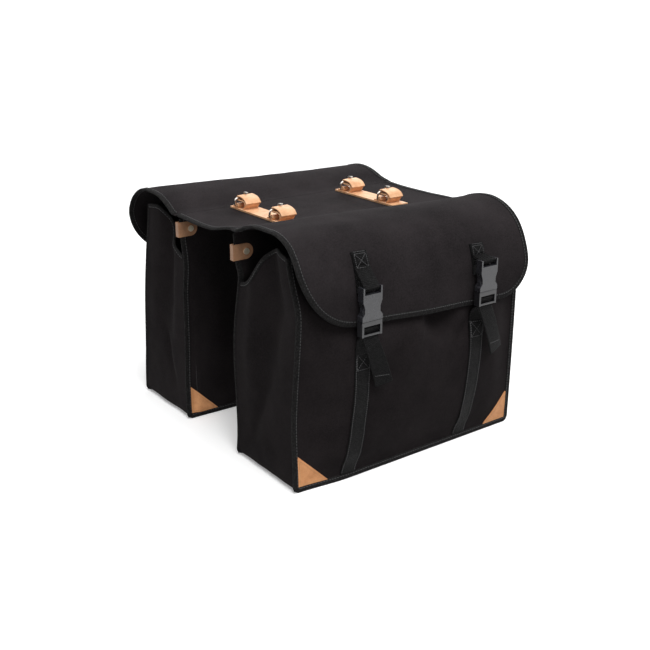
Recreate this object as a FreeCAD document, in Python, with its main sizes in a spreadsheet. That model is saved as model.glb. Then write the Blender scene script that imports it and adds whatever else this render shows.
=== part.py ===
"""Double pannier bag: two canvas bags, the bridge that joins them over a carrier, and their lids.

Millimetres. +X is the riding direction, +Y the left side, +Z up. The origin is on the floor,
midway between the two bags. Right-hand pieces are drawn at -Y. Their distance outwards from the
centre plane is called s, so y = -s. Left-hand pieces are the same ones turned half round about Z.
"""
import FreeCAD, Part
import Sketcher
import math
import os
import re

V = FreeCAD.Vector

SIZES = [
    ("bag_length", 400, "length of a bag over its bindings"),
    ("inner_face", 75, "from the centre plane to a bag's inner panel"),
    ("outer_face", 219, "from the centre plane to a bag's outer face"),
    ("canvas", 2, "double canvas of panels and gusset"),
    ("tape", 1.5, "thickness of the binding tape"),
    ("tape_width", 9, "width of the binding tape on a face"),
    ("fold_reach", 76, "from the centre plane to the fold line of bridge, bag and lid"),
    ("fold_height", 326, "height of the fold line"),
    ("fold_gap", 2, "free strip on each side of the fold line"),
    ("inner_top", 324, "top of the inner panel"),
    ("outer_top", 314, "top of the outer panel"),
    ("mouth_low", 275, "height of the mouth's edge at the inner panel"),
    ("lid_canvas", 2.4, "thickness of the lid"),
    ("lid_half", 203, "half the length of the lid"),
    ("lid_edge", 222, "height of the lid's lower edge"),
    ("lid_corner", 72, "radius of the lid's lower corners"),
    ("strap_reach", 104, "from the middle of a bag to a closing strap"),
    ("webbing_width", 25, "width of the webbing"),
    ("webbing", 1.6, "thickness of the webbing"),
    ("buckle_plane", 251, "from the centre plane to the middle of a buckle"),
    ("loop_bar_height", 282.5, "height of the bar that the lid's webbing holds"),
    ("lock_bar_height", 228.5, "height of the bar that the adjusting webbing goes over"),
    ("band_reach", 98, "from the middle of the bridge to a leather band"),
    ("leather", 2.5, "thickness of the carrier leather"),
    ("leather_width", 30, "width of the carrier leather"),
    ("rail_reach", 46, "from the centre plane to a carrier rail"),
    ("rail_radius", 6, "radius of a carrier rail"),
    ("frame_wire", 1.5, "radius of a buckle frame's wire"),
    ("running_gap", 0.3, "clearance between pieces that move on each other"),
    ("patch_leg", 45, "leg of a leather corner patch"),
    ("tab_height", 22, "height of a leather corner tab"),
    ("tab_low", 294, "lower edge of a corner tab"),
    ("rivet_inset", 19, "from a bag's end to the rivet of a corner tab"),
    ("tab_reach", 30, "from a bag's end to the tip of a corner tab"),
    ("patch_leather", 1.2, "thickness of the corner patches"),
    ("tab_leather", 1.4, "thickness of the corner tabs"),
    ("rivet_radius", 2, "radius of a rivet's shank"),
    ("rivet_head", 4.5, "radius of a rivet's head"),
    ("rivet_rise", 1.4, "thickness of a rivet's head"),
    ("board", 3, "thickness of the base board"),
    ("board_gap", 8, "from the boards' edges to the canvas"),
    ("back_sheet", 2.4, "thickness of the back board"),
    ("back_sheet_top", 256, "top of the back board"),
    ("socket_half", 16.5, "half the width of a buckle's socket at its mouth"),
    ("socket_waist", 12.6, "half its width at the release windows"),
    ("socket_head", 15.5, "half its width at the webbing's bar"),
    ("socket_depth", 11, "thickness of a socket"),
    ("socket_hollow", 6.8, "thickness of the space inside it"),
    ("plug_depth", 10, "thickness of a plug"),
    ("plug_rail", 3.2, "width of a plug's side rails"),
    ("loop_bar", 2, "radius of the bar in a socket"),
    ("lock_bar", 1.6, "radius of the bars in a plug"),
    ("end_bar_drop", 7.9, "from the plug's upper bar down to its end bar"),
    ("end_bar_out", 3.4, "from the middle of a buckle out to the end bar"),
    ("arm_depth", 6, "thickness of a release arm"),
]

FRAME_TOP = (6.0, 14.6)  # the frame's upper bar, outwards from the rail and above the band
FRAME_FOOT = (9.0, 3.1)  # the frame's lower bar
FRAME_HALF = 17.0  # half the frame's width at its wire's centre
CHAPE_END = 20.0  # how far a chape reaches past the rail
PRONG_WIDTH = 3.0
RUNNING_BORE = 0.08  # radial clearance of a prong's eye
FRAME_ROUND = 3.0  # radius of the frame's corners

doc = FreeCAD.newDocument("pannier_bag")
sheet = doc.addObject("Spreadsheet::Sheet", "sizes")
for row, (alias, value, words) in enumerate(SIZES, 1):
    sheet.set(f"A{row}", words)
    sheet.set(f"B{row}", str(value))
    sheet.setAlias(f"B{row}", alias)
doc.recompute()

pieces = []
RIGHT = FreeCAD.Placement()
LEFT = FreeCAD.Placement(V(), FreeCAD.Rotation(V(0, 0, 1), 180))


def size(alias):
    """A driving dimension, read from the sheet."""
    return float(sheet.get(alias))


def bound(text):
    """An expression whose words are the sheet's aliases."""
    return re.sub(r"[a-z][a-z_]+", r"sizes.\g<0>", str(text))


def keep(obj, label, where=RIGHT):
    """Names an object as a finished sub-part and puts it in its place."""
    obj.Label = label
    obj.Placement = where
    pieces.append(obj)
    return obj


# ---------------------------------------------------------------- sketches and features


def plane(body, role):
    """One of a body's own origin planes."""
    return next(f for f in body.Origin.OriginFeatures if f.Role == role)


def new_sketch(body, role, start):
    """A sketch on an origin plane, moved along the plane's normal."""
    sketch = body.newObject("Sketcher::SketchObject", "outline")
    sketch.AttachmentSupport = (plane(body, role), "")
    sketch.MapMode = "FlatFace"
    sketch.setExpression("AttachmentOffset.Base.z", bound(start))
    return sketch


def add_outline(sketch, corners):
    """A closed outline whose corners are pairs of expressions from the plane's axes."""
    first = sketch.GeometryCount
    count = len(corners)
    turns = [2 * math.pi * i / count for i in range(count)]
    ring = [V(10 * math.cos(turn), 10 * math.sin(turn), 0) for turn in turns]
    for i in range(count):
        sketch.addGeometry(Part.LineSegment(ring[i], ring[(i + 1) % count]))
    for i in range(count):
        sketch.addConstraint(Sketcher.Constraint("Coincident", first + i, 2, first + (i + 1) % count, 1))
    for i, (across, up) in enumerate(corners):
        for kind, here, text in (("DistanceX", ring[i].x, across), ("DistanceY", ring[i].y, up)):
            k = sketch.addConstraint(Sketcher.Constraint(kind, -1, 1, first + i, 1, here))
            sketch.setExpression(f"Constraints[{k}]", bound(text))


def add_circle(sketch, across, up, radius):
    """A circle placed and sized by expressions."""
    geo = sketch.addGeometry(Part.Circle(V(5, 5, 0), V(0, 0, 1), 1))
    for kind, text in (("DistanceX", across), ("DistanceY", up)):
        k = sketch.addConstraint(Sketcher.Constraint(kind, -1, 1, geo, 3, 5))
        sketch.setExpression(f"Constraints[{k}]", bound(text))
    k = sketch.addConstraint(Sketcher.Constraint("Radius", geo, 1))
    sketch.setExpression(f"Constraints[{k}]", bound(radius))


def extrude(body, kind, role, start, length, outlines=(), circles=()):
    """A Pad or a Pocket from start to start + length along a plane's normal."""
    sketch = new_sketch(body, role, start)
    for corners in outlines:
        add_outline(sketch, corners)
    for circle in circles:
        add_circle(sketch, *circle)
    feature = body.newObject(f"PartDesign::{kind}", kind)
    feature.Profile = sketch
    feature.setExpression("Length", bound(length))
    if kind == "Pocket":
        feature.Reversed = True
    return feature


def rectangle(low_across, low_up, high_across, high_up):
    """The corners of a rectangle between two corners."""
    return [(low_across, low_up), (high_across, low_up), (high_across, high_up), (low_across, high_up)]


def mirrored(corners):
    """The same outline on the other side of the plane's upright axis."""
    return [(f"-({across})", up) for across, up in corners]


def new_body(name):
    return doc.addObject("PartDesign::Body", name)


def round_off(body, base, radius, wanted):
    """Rounds the edges of a feature that a test picks by their end points."""
    doc.recompute()
    names = []
    for n, edge in enumerate(base.Shape.Edges, 1):
        ends = [v.Point for v in edge.Vertexes]
        if len(ends) == 2 and wanted(*ends):
            names.append(f"Edge{n}")
    fillet = body.newObject("PartDesign::Fillet", "Fillet")
    fillet.Base = (base, names)
    fillet.setExpression("Radius", bound(radius))
    return fillet


def group(name, objects):
    """Separate solids that make one sub-part."""
    made = doc.addObject("Part::Compound", name)
    made.Links = objects
    return made


# ---------------------------------------------------------------- ribbons: strips bent in the YZ plane


def path_of(points, radii):
    """Straight runs joined by tangent arcs: lines ("line", p, q) and arcs ("arc", centre, p, q)."""
    runs = []
    start = points[0]
    for before, corner, after, radius in zip(points, points[1:], points[2:], radii):
        a = (before - corner).normalize()
        b = (after - corner).normalize()
        half = a.getAngle(b) / 2
        reach = radius / math.tan(half)
        p = corner + a * reach
        q = corner + b * reach
        centre = corner + (a + b).normalize() * (radius / math.sin(half))
        runs += [("line", start, p), ("arc", centre, p, q)]
        start = q
    return runs + [("line", start, points[-1])]


def side_of(runs, shift):
    """Edges that run beside a path in the YZ plane, at a distance to its left."""
    edges = []
    for run in runs:
        if run[0] == "line":
            along = run[2] - run[1]
            if along.Length > 1e-6:
                left = V(0, -along.z, along.y).normalize() * shift
                edges.append(Part.LineSegment(run[1] + left, run[2] + left).toShape())
            continue
        centre, p, q = run[1:]
        radius = (p - centre).Length
        turn = 1 if (p - centre).cross(q - centre).x > 0 else -1
        middle = ((p - centre) + (q - centre))
        if middle.Length < 1e-6:
            middle = V(0, -(p - centre).z, (p - centre).y) * turn
        middle.normalize()
        new = radius - turn * shift
        ends = [centre + (point - centre).normalize() * new for point in (p, q)]
        edges.append(Part.Arc(ends[0], centre + middle * new, ends[1]).toShape())
    return edges


def ribbon(runs, thickness, width, middle_x, shift=0.0):
    """A strip of cloth or leather along a path, square to the YZ plane."""
    left = side_of(runs, shift + thickness / 2)
    right = side_of(runs, shift - thickness / 2)
    ends = [
        Part.LineSegment(a, b).toShape()
        for a, b in (
            (left[0].firstVertex(True).Point, right[0].firstVertex(True).Point),
            (left[-1].lastVertex(True).Point, right[-1].lastVertex(True).Point),
        )
    ]
    outline = Part.Wire(Part.__sortEdges__(left + ends + right))
    face = Part.Face(outline)
    face.translate(V(middle_x - width / 2, 0, 0))
    return face.extrude(V(width, 0, 0))


def touch(point, centre, radius, sign):
    """The point where a line from a point touches a circle in the YZ plane."""
    to = centre - point
    angle = math.asin(radius / to.Length) * sign
    along = FreeCAD.Rotation(V(1, 0, 0), math.degrees(angle)).multVec(to).normalize()
    return point + along * math.sqrt(to.Length**2 - radius**2)


def feature(name, shape):
    made = doc.addObject("Part::Feature", name)
    made.Shape = shape
    return made


# ---------------------------------------------------------------- bridge

HALF = "bag_length / 2 - tape"
LEGS = ("rail_radius + leather / 2", "-(rail_radius + leather / 2)")


def leg_slots(sides):
    """Slots in the bridge for the straps' legs, for one or both legs of each rail."""
    outlines = []
    for band in ("band_reach", "-band_reach"):
        for rail in ("rail_reach", "-rail_reach"):
            for leg in sides:
                across = f"{band} - leather_width / 2", f"{band} + leather_width / 2"
                along = f"{rail} + {leg} - leather / 2", f"{rail} + {leg} + leather / 2"
                outlines.append(rectangle(across[0], along[0], across[1], along[1]))
    return outlines


def build_bridge():
    body = new_body("bridge")
    reach = "fold_reach - fold_gap"
    low = "fold_height - canvas / 2"
    extrude(body, "Pad", "XY_Plane", low, "canvas", [rectangle(f"-({HALF})", f"-({reach})", HALF, reach)])
    extrude(body, "Pocket", "XY_Plane", low, "canvas", leg_slots(LEGS))
    keep(body, "bridge_panel")

    edges = []
    for name, turn in (("front", list), ("rear", mirrored)):
        edge = new_body(f"{name}_bridge_tape")
        top = "fold_height + canvas / 2"
        outline = [
            ("bag_length / 2 - tape_width", f"{top} + tape"),
            ("bag_length / 2", f"{top} + tape"),
            ("bag_length / 2", f"{low} - tape"),
            ("bag_length / 2 - tape_width", f"{low} - tape"),
            ("bag_length / 2 - tape_width", low),
            (HALF, low),
            (HALF, top),
            ("bag_length / 2 - tape_width", top),
        ]
        extrude(edge, "Pad", "XZ_Plane", f"-({reach} - 3)", f"2 * ({reach} - 3)", [turn(outline)])
        edges.append(edge)
    keep(group("bridge_tapes", edges), "bridge_bindings")

    bands = []
    for band in ("band_reach", "-band_reach"):
        leather = new_body("carrier_band")
        across = f"{band} - leather_width / 2", f"{band} + leather_width / 2"
        long = "fold_reach - fold_gap - 3"
        top = "fold_height + canvas / 2"
        outline = rectangle(across[0], f"-({long})", across[1], long)
        extrude(leather, "Pad", "XY_Plane", top, "leather", [outline])
        slots = [
            rectangle(across[0] + " + 2", f"{rail} + {LEGS[1]} - leather / 2", across[1] + " - 2",
                      f"{rail} + {LEGS[1]} + leather / 2")
            for rail in ("rail_reach", "-rail_reach")
        ]
        extrude(leather, "Pocket", "XY_Plane", top, "leather", slots)
        bands.append(leather)
    keep(group("bands", bands), "carrier_bands")


def rail_strap(rail_y, band_x):
    """A strap: down from the bridge, round a rail, up through the band and over the frame's bar."""
    t = size("leather")
    leg = size("rail_radius") + t / 2
    under = size("fold_height") - size("canvas") / 2
    rail_z = under - size("tape") - size("running_gap") - size("rail_radius")
    bar = V(0, rail_y + FRAME_TOP[0], band_top() + FRAME_TOP[1])
    wrap = size("frame_wire") + size("running_gap") + t / 2
    knee = V(0, rail_y - leg, band_top() + 4)
    meets = touch(knee, bar, wrap, -1)
    tail = V(0, rail_y - 13, bar.z + wrap + 2)
    leaves = touch(tail, bar, wrap, 1)
    runs = path_of(
        [
            V(0, rail_y + leg, under + size("canvas")),
            V(0, rail_y + leg, rail_z - leg),
            V(0, rail_y - leg, rail_z - leg),
            knee,
            meets,
        ],
        [leg, leg, 5.0],
    )
    # the wrap goes more than half round, so it is two arcs
    back = bar + V(0, wrap, 0)
    runs += [("arc", bar, meets, back), ("arc", bar, back, leaves), ("line", leaves, tail)]
    return ribbon(runs, t, size("leather_width") - 4, band_x)


def band_top():
    """The upper face of the leather bands."""
    return size("fold_height") + size("canvas") / 2 + size("leather")


def frame_bar(rail_y, where):
    return V(0, rail_y + where[0], band_top() + where[1])


def buckle_frame(rail_y, band_x):
    """A rounded wire ring that stands on the band."""
    foot = frame_bar(rail_y, FRAME_FOOT)
    top = frame_bar(rail_y, FRAME_TOP)
    across = V(1, 0, 0)
    r = FRAME_ROUND
    middle = V(band_x, 0, 0)
    corners = [
        middle + foot - across * FRAME_HALF,
        middle + foot + across * FRAME_HALF,
        middle + top + across * FRAME_HALF,
        middle + top - across * FRAME_HALF,
    ]
    edges = []
    for i, corner in enumerate(corners):
        before = (corners[i - 1] - corner).normalize()
        after_point = corners[(i + 1) % 4]
        after = (after_point - corner).normalize()
        centre = corner + before * r + after * r
        bow = centre - (before + after).normalize() * r
        edges.append(Part.Arc(corner + before * r, bow, corner + after * r).toShape())
        edges.append(Part.LineSegment(corner + after * r, after_point - after * r).toShape())
    start = corners[0] + (corners[1] - corners[0]) * 0.5
    ring = Part.Wire(Part.makeCircle(size("frame_wire"), start, across))
    spine = Part.Wire(Part.__sortEdges__(
        [Part.LineSegment(start, corners[1] - across * r).toShape()]
        + [e for e in edges if not on_foot_bar(e, corners)]
        + [Part.LineSegment(corners[0] + across * r, start).toShape()]
    ))
    return spine.makePipeShell([ring], True, True)


def on_foot_bar(edge, corners):
    """Whether an edge is the straight run between a frame's two lower corners."""
    middle = (corners[0] + corners[1]) * 0.5
    return edge.distToShape(Part.Vertex(middle))[0] < 1e-6


def chape(rail_y, band_x):
    """A leather loop over a frame's lower bar, with a tongue sewn to the band and a gap for the prong."""
    foot = frame_bar(rail_y, FRAME_FOOT)
    wide = size("leather_width") - 3
    inner = size("frame_wire") + size("running_gap")
    outer = inner + 2
    low = band_top()
    end = rail_y + CHAPE_END
    corner = V(band_x - wide / 2, foot.y, foot.z)
    tunnel = Part.makeCylinder(outer, wide, corner, V(1, 0, 0))
    tongue = Part.makeBox(wide, end - foot.y, 2.0, V(band_x - wide / 2, foot.y, low))
    bore = Part.makeCylinder(inner, wide, corner, V(1, 0, 0))
    under = V(band_x - wide / 2 - 1, foot.y - 2 * outer, low - outer)
    floor = Part.makeBox(wide + 2, 4 * outer, outer, under)
    gap = PRONG_WIDTH + 2 * size("running_gap") + 1
    beside = V(band_x - gap / 2, foot.y - outer, low - outer)
    eye = Part.makeBox(gap, 2 * outer + 0.6, 3 * outer, beside)
    return tunnel.fuse(tongue).cut(bore).cut(floor).cut(eye).removeSplitter()


def prong(rail_y, band_x):
    """A prong with its eye on the frame's lower bar; it lies against the strap over the upper bar."""
    foot = frame_bar(rail_y, FRAME_FOOT)
    bore = size("frame_wire") + RUNNING_BORE
    top = frame_bar(rail_y, FRAME_TOP)
    side = V(band_x - PRONG_WIDTH / 2, foot.y, foot.z)
    eye = Part.makeCylinder(bore + 1.1, PRONG_WIDTH, side, V(1, 0, 0))
    hole = Part.makeCylinder(bore, PRONG_WIDTH, side, V(1, 0, 0))
    reach = size("frame_wire") + size("running_gap") + size("leather") + 0.4 + 1.0
    points = [
        foot + V(0, 1.9, 1.0),
        V(0, top.y + reach, top.z),
        V(0, top.y + reach - 2.5, top.z + reach + 0.6),
        V(0, top.y - 5.0, top.z + reach + 1.6),
    ]
    arm = ribbon(path_of(points, [4.0, 1.8]), 1.8, PRONG_WIDTH, band_x)
    return eye.fuse(arm).cut(hole).removeSplitter()


def build_carrier_leather():
    rails = (("right", -size("rail_reach")), ("left", size("rail_reach")))
    bands = (("front", size("band_reach")), ("rear", -size("band_reach")))
    chapes = []
    frames = []
    for end, x in bands:
        straps = [feature(f"{end}_{side}_strap", rail_strap(y, x)) for side, y in rails]
        keep(group(f"{end}_straps", straps), f"{end}_rail_straps")
        for side, y in rails:
            chapes.append(feature(f"{end}_{side}_chape", chape(y, x)))
            frames.append(feature(f"{end}_{side}_frame", buckle_frame(y, x)))
            keep(feature(f"{end}_{side}_prong", prong(y, x)), f"prong_{end}_{side}")
    keep(group("chapes", chapes), "buckle_chapes")
    keep(group("frames", frames), "carrier_buckle_frames")


# ---------------------------------------------------------------- bag

IN = "inner_face + canvas"
OUT = "outer_face - canvas"


def build_panels(side, where):
    panel = new_body("outer_panel")
    extrude(panel, "Pad", "XZ_Plane", OUT, "canvas", [rectangle(f"-({HALF})", "tape", HALF, "outer_top")])
    keep(panel, f"{side}_outer_panel", where)

    panel = new_body("inner_panel")
    outline = rectangle(f"-({HALF})", "tape", HALF, "inner_top")
    extrude(panel, "Pad", "XZ_Plane", "inner_face", "canvas", [outline])
    hole = "(bag_length / 2 - rivet_inset)", "tab_low + tab_height / 2", "rivet_radius"
    holes = [hole, ("-" + hole[0], *hole[1:])]
    extrude(panel, "Pocket", "XZ_Plane", "inner_face", "canvas", circles=holes)
    keep(panel, f"{side}_inner_panel", where)

    gusset = new_body("gusset")
    outline = [
        (f"-({HALF})", "tape"),
        (HALF, "tape"),
        (HALF, "outer_top"),
        (f"{HALF} - canvas", "outer_top"),
        (f"{HALF} - canvas", "tape + canvas"),
        (f"-({HALF} - canvas)", "tape + canvas"),
        (f"-({HALF} - canvas)", "outer_top"),
        (f"-({HALF})", "outer_top"),
    ]
    extrude(gusset, "Pad", "XZ_Plane", IN, f"{OUT} - ({IN})", [outline])
    mouth = [
        (f"-({IN})", "mouth_low"),
        (f"-({IN})", "outer_top + 20"),
        (f"-({OUT})", "outer_top + 20"),
        (f"-({OUT})", "outer_top"),
    ]
    extrude(gusset, "Pocket", "YZ_Plane", "-bag_length / 2", "bag_length", [mouth])
    keep(gusset, f"{side}_gusset", where)


def seam_outline(width, top):
    """A strip along a bag's two upright edges and its bottom, measured in from the outside."""
    return [
        ("-bag_length / 2", "0"),
        ("bag_length / 2", "0"),
        ("bag_length / 2", top),
        (f"bag_length / 2 - {width}", top),
        (f"bag_length / 2 - {width}", width),
        (f"-(bag_length / 2 - {width})", width),
        (f"-(bag_length / 2 - {width})", top),
        ("-bag_length / 2", top),
    ]


def build_bindings(side, where):
    top = "outer_top - 9"
    outer = new_body("outer_seam_tape")
    extrude(outer, "Pad", "XZ_Plane", "outer_face", "tape", [seam_outline("tape_width", top)])
    side_leg = [seam_outline("tape", top)]
    extrude(outer, "Pad", "XZ_Plane", "outer_face - tape_width", "tape_width", side_leg)
    top = "tab_low + tab_height"
    inner = new_body("inner_seam_tape")
    extrude(inner, "Pad", "XZ_Plane", "inner_face - tape", "tape", [seam_outline("tape_width", top)])
    extrude(inner, "Pad", "XZ_Plane", "inner_face", "canvas", [seam_outline("tape", top)])
    extrude(inner, "Pad", "XZ_Plane", IN, "tape_width - canvas", [seam_outline("tape", "mouth_low")])
    keep(group(f"{side}_seam_tapes", [outer, inner]), f"{side}_seam_bindings", where)

    mouth = new_body("mouth_tape")
    cap = [
        (f"-({OUT} - 1.2)", "outer_top - 8"),
        (f"-({OUT})", "outer_top - 8"),
        (f"-({OUT})", "outer_top"),
        ("-outer_face", "outer_top"),
        ("-outer_face", "outer_top - 8"),
        ("-(outer_face + 1.2)", "outer_top - 8"),
        ("-(outer_face + 1.2)", "outer_top + 1.4"),
        (f"-({OUT} - 1.2)", "outer_top + 1.4"),
    ]
    half = f"{HALF} - canvas"
    extrude(mouth, "Pad", "YZ_Plane", f"-({half})", f"2 * ({half})", [cap])
    sides = [feature(f"{side}_mouth_side", mouth_side(sign)) for sign in (1, -1)]
    keep(group(f"{side}_mouth_tapes", [mouth, *sides]), f"{side}_mouth_binding", where)


def mouth_side(sign):
    """Tape folded over the sloping top edge of the gusset, at one end of a bag."""
    low_s = size("inner_face") + size("canvas")
    high_s = size("outer_face") - size("canvas")
    slope = (size("outer_top") - size("mouth_low")) / (high_s - low_s)
    start = low_s + 9.5
    length = high_s - 1.6 - start
    top = size("mouth_low") + 9.5 * slope
    outside = size("bag_length") / 2 - size("tape")
    inside = outside - size("canvas")
    fold = 1.2
    outline = [
        (outside, top - 6),
        (outside + fold, top - 6),
        (outside + fold, top + fold),
        (inside - fold, top + fold),
        (inside - fold, top - 6),
        (inside, top - 6),
        (inside, top),
        (outside, top),
    ]
    points = [V(sign * x, -start, z) for x, z in outline]
    face = Part.Face(Part.makePolygon(points + points[:1]))
    return face.extrude(V(0, -length, length * slope))


def build_boards(side, where):
    board = new_body("base_board")
    half = f"{HALF} - canvas - board_gap"
    outline = rectangle(f"-({half})", f"-({OUT} - board_gap - 5)", half, f"-({IN} + board_gap)")
    extrude(board, "Pad", "XY_Plane", "tape + canvas", "board", [outline])
    keep(board, f"{side}_base_board", where)
    board = new_body("back_board")
    low = "tape + canvas + board + 0.5"
    outline = rectangle(f"-({half} - 8)", low, f"{half} - 8", "back_sheet_top")
    extrude(board, "Pad", "XZ_Plane", IN, "back_sheet", [outline])
    keep(board, f"{side}_back_board", where)


def build_leather(side, where):
    edge = "bag_length / 2 - tape_width"
    patches = []
    for start in ("outer_face", "inner_face - patch_leather"):
        for turn in (list, mirrored):
            patch = new_body("patch")
            outline = [
                (edge, "tape_width"),
                (edge, "tape_width + patch_leg"),
                (f"{edge} - patch_leg", "tape_width"),
            ]
            extrude(patch, "Pad", "XZ_Plane", start, "patch_leather", [turn(outline)])
            patches.append(patch)
    keep(group(f"{side}_patches", patches), f"{side}_corner_patches", where)

    tabs = []
    rivets = []
    outside = "inner_face - tape"
    inside = f"{IN} + tape"
    tip = "bag_length / 2 - tab_reach"
    over = "bag_length / 2 + tab_leather"
    for sign, turn in (("", list), ("-", mirrored)):
        tab = new_body("tab")
        outline = [
            (tip, f"-({outside} - tab_leather)"),
            (over, f"-({outside} - tab_leather)"),
            (over, f"-({inside} + tab_leather)"),
            (tip, f"-({inside} + tab_leather)"),
            (tip, f"-({inside})"),
            ("bag_length / 2", f"-({inside})"),
            ("bag_length / 2", f"-({outside})"),
            (tip, f"-({outside})"),
        ]
        block = extrude(tab, "Pad", "XY_Plane", "tab_low", "tab_height", [turn(outline)])
        end = size("bag_length") / 2 - size("tab_reach")

        def at_tip(a, b):
            upright = abs(a.z - b.z) < 0.01
            return upright and abs(abs(a.x) - end) < 0.01 and abs(abs(b.x) - end) < 0.01

        round_off(tab, block, "tab_height / 2 - 0.1", at_tip)
        centre = (f"{sign}(bag_length / 2 - rivet_inset)", "tab_low + tab_height / 2")
        extrude(tab, "Pocket", "XZ_Plane", f"{outside} - 2", "10", circles=[(*centre, "rivet_radius")])
        tabs.append(tab)
        rivet = new_body("rivet")
        shank = f"{inside} - ({outside}) + 2 * tab_leather"
        head = [(*centre, "rivet_head")]
        near = f"{outside} - tab_leather"
        extrude(rivet, "Pad", "XZ_Plane", near, shank, circles=[(*centre, "rivet_radius")])
        extrude(rivet, "Pad", "XZ_Plane", f"{near} - rivet_rise", "rivet_rise", circles=head)
        extrude(rivet, "Pad", "XZ_Plane", f"{inside} + tab_leather", "rivet_rise", circles=head)
        rivets.append(rivet)
    keep(group(f"{side}_tabs", tabs), f"{side}_corner_tabs", where)
    keep(group(f"{side}_rivets", rivets), f"{side}_tab_rivets", where)


def build_anchors(side, where):
    anchors = []
    for reach in ("strap_reach", "-strap_reach"):
        anchor = new_body("anchor")
        outline = rectangle(f"{reach} - webbing_width / 2", "12", f"{reach} + webbing_width / 2", "192")
        extrude(anchor, "Pad", "XZ_Plane", "outer_face", "webbing", [outline])
        anchors.append(anchor)
    keep(group(f"{side}_anchors", anchors), f"{side}_strap_anchors", where)


# ---------------------------------------------------------------- lid


def outwards(s, z):
    """A point of the right-hand side from its distance outwards and its height."""
    return V(0, -s, z)


LID_CREST = (190, 352)  # corners of the lid's section: where it is highest over the mouth,
LID_SHOULDER = (234, 310)  # where it turns down in front of the bag,
LID_EDGE_REACH = 240  # and how far out its lower edge hangs


def lid_path():
    """The lid from the fold line over the bag's mouth and down in front of it."""
    points = [
        outwards(size("fold_reach") + size("fold_gap"), size("fold_height")),
        outwards(92, 329),
        outwards(120, 348),
        outwards(*LID_CREST),
        outwards(*LID_SHOULDER),
        outwards(LID_EDGE_REACH, size("lid_edge")),
    ]
    return path_of(points, [20.0, 40.0, 60.0, 60.0])


def lid_prism(name, inset):
    """A prism that gives the lid its rounded lower corners."""
    body = new_body(name)
    half = f"lid_half - {inset}"
    low = f"lid_edge + {inset}"
    block = extrude(body, "Pad", "XZ_Plane", "60", "200", [rectangle(f"-({half})", low, half, "380")])
    height = size("lid_edge") + inset

    def low_corner(a, b):
        return abs(a.z - height) < 0.01 and abs(b.z - height) < 0.01 and abs(a.x - b.x) < 0.01

    round_off(body, block, f"lid_corner - {inset}", low_corner)
    return body


def combine(kind, name, base, tool):
    made = doc.addObject(f"Part::{kind}", name)
    made.Base = base
    made.Tool = tool
    return made


def lid_strap(x):
    """Webbing sewn down the lid, with a second layer that loops under the buckle's bar."""
    t = size("webbing")
    shift = size("lid_canvas") / 2 + t / 2
    shoulder = outwards(*LID_SHOULDER)
    edge = outwards(LID_EDGE_REACH, size("lid_edge"))
    crest = outwards(*LID_CREST)
    top = shoulder + (crest - shoulder) * 0.33
    end = shoulder + (edge - shoulder) * 0.66
    down = path_of([top, shoulder, end], [16.0])
    sewn = ribbon(down, t, size("webbing_width"), x, shift=-shift)
    bar = outwards(size("buckle_plane"), size("loop_bar_height"))
    wrap = size("loop_bar") + size("running_gap") + t / 2
    above = outwards(237.6, 303.0)
    below = outwards(238.0, 288.0)
    leaves = touch(above, bar, wrap, -1)
    returns = touch(below, bar, wrap, 1)
    under = bar + V(0, 0, -wrap)
    runs = [
        ("line", above, leaves),
        ("arc", bar, leaves, under),
        ("arc", bar, under, returns),
        ("line", returns, below),
    ]
    loop = ribbon(runs, t, size("webbing_width"), x)
    return sewn.fuse(loop).removeSplitter()


def build_lid(side, where):
    runs = lid_path()
    wide = 2 * size("lid_half") + 10
    canvas = size("lid_canvas")
    cloth = feature(f"{side}_lid_cloth", ribbon(runs, canvas, wide, 0))
    thick = feature(f"{side}_lid_tape", ribbon(runs, canvas + 2.4, wide, 0))
    outline = lid_prism(f"{side}_lid_outline", 0)
    inset = lid_prism(f"{side}_lid_inset", 9)
    shape = lid_prism(f"{side}_lid_shape", 1.2)
    keep(combine("Common", f"{side}_lid", cloth, shape), f"{side}_lid_panel", where)
    tape = combine("Cut", f"{side}_lid_rim", combine("Common", f"{side}_lid_band", thick, outline), inset)
    cloth_again = combine("Common", f"{side}_lid_copy", cloth, shape)
    keep(combine("Cut", f"{side}_lid_edge", tape, cloth_again), f"{side}_lid_binding", where)
    straps = [feature(f"{side}_lid_strap", lid_strap(x * size("strap_reach"))) for x in (1, -1)]
    keep(group(f"{side}_straps", straps), f"{side}_lid_straps", where)


# ---------------------------------------------------------------- side-release buckle


def build_socket(name, x, where):
    """The socket: a waisted shell, open at its mouth and sides, with a bar for the lid's webbing."""
    body = new_body("socket")
    half = [
        ("socket_half", "240"),
        ("socket_half", "246"),
        ("socket_waist", "251"),
        ("socket_waist", "258"),
        ("socket_head", "266"),
        ("socket_head", "285"),
    ]
    outline = [(f"{x} + {w}", z) for w, z in half]
    outline += [(f"{x} - {w}", z) for w, z in reversed(half)]
    extrude(body, "Pad", "XZ_Plane", "buckle_plane - socket_depth / 2", "socket_depth", [outline])
    hollow = "buckle_plane - socket_hollow / 2"
    chamber = rectangle(f"{x} - 14.8", "245", f"{x} + 14.8", "264.5")
    extrude(body, "Pocket", "XZ_Plane", hollow, "socket_hollow", [chamber])
    opening = rectangle(f"{x} - 12.7", "239", f"{x} + 12.7", "246")
    extrude(body, "Pocket", "XZ_Plane", hollow, "socket_hollow", [opening])
    slot = rectangle(f"{x} - 13", "loop_bar_height - 7", f"{x} + 13", "286")
    extrude(body, "Pocket", "XZ_Plane", "buckle_plane - 6", "12", [slot])
    bar = ("-buckle_plane", "loop_bar_height", "loop_bar")
    extrude(body, "Pad", "YZ_Plane", f"{x} - 14", "28", circles=[bar])
    keep(body, f"buckle_socket_{name}", where)


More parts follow.
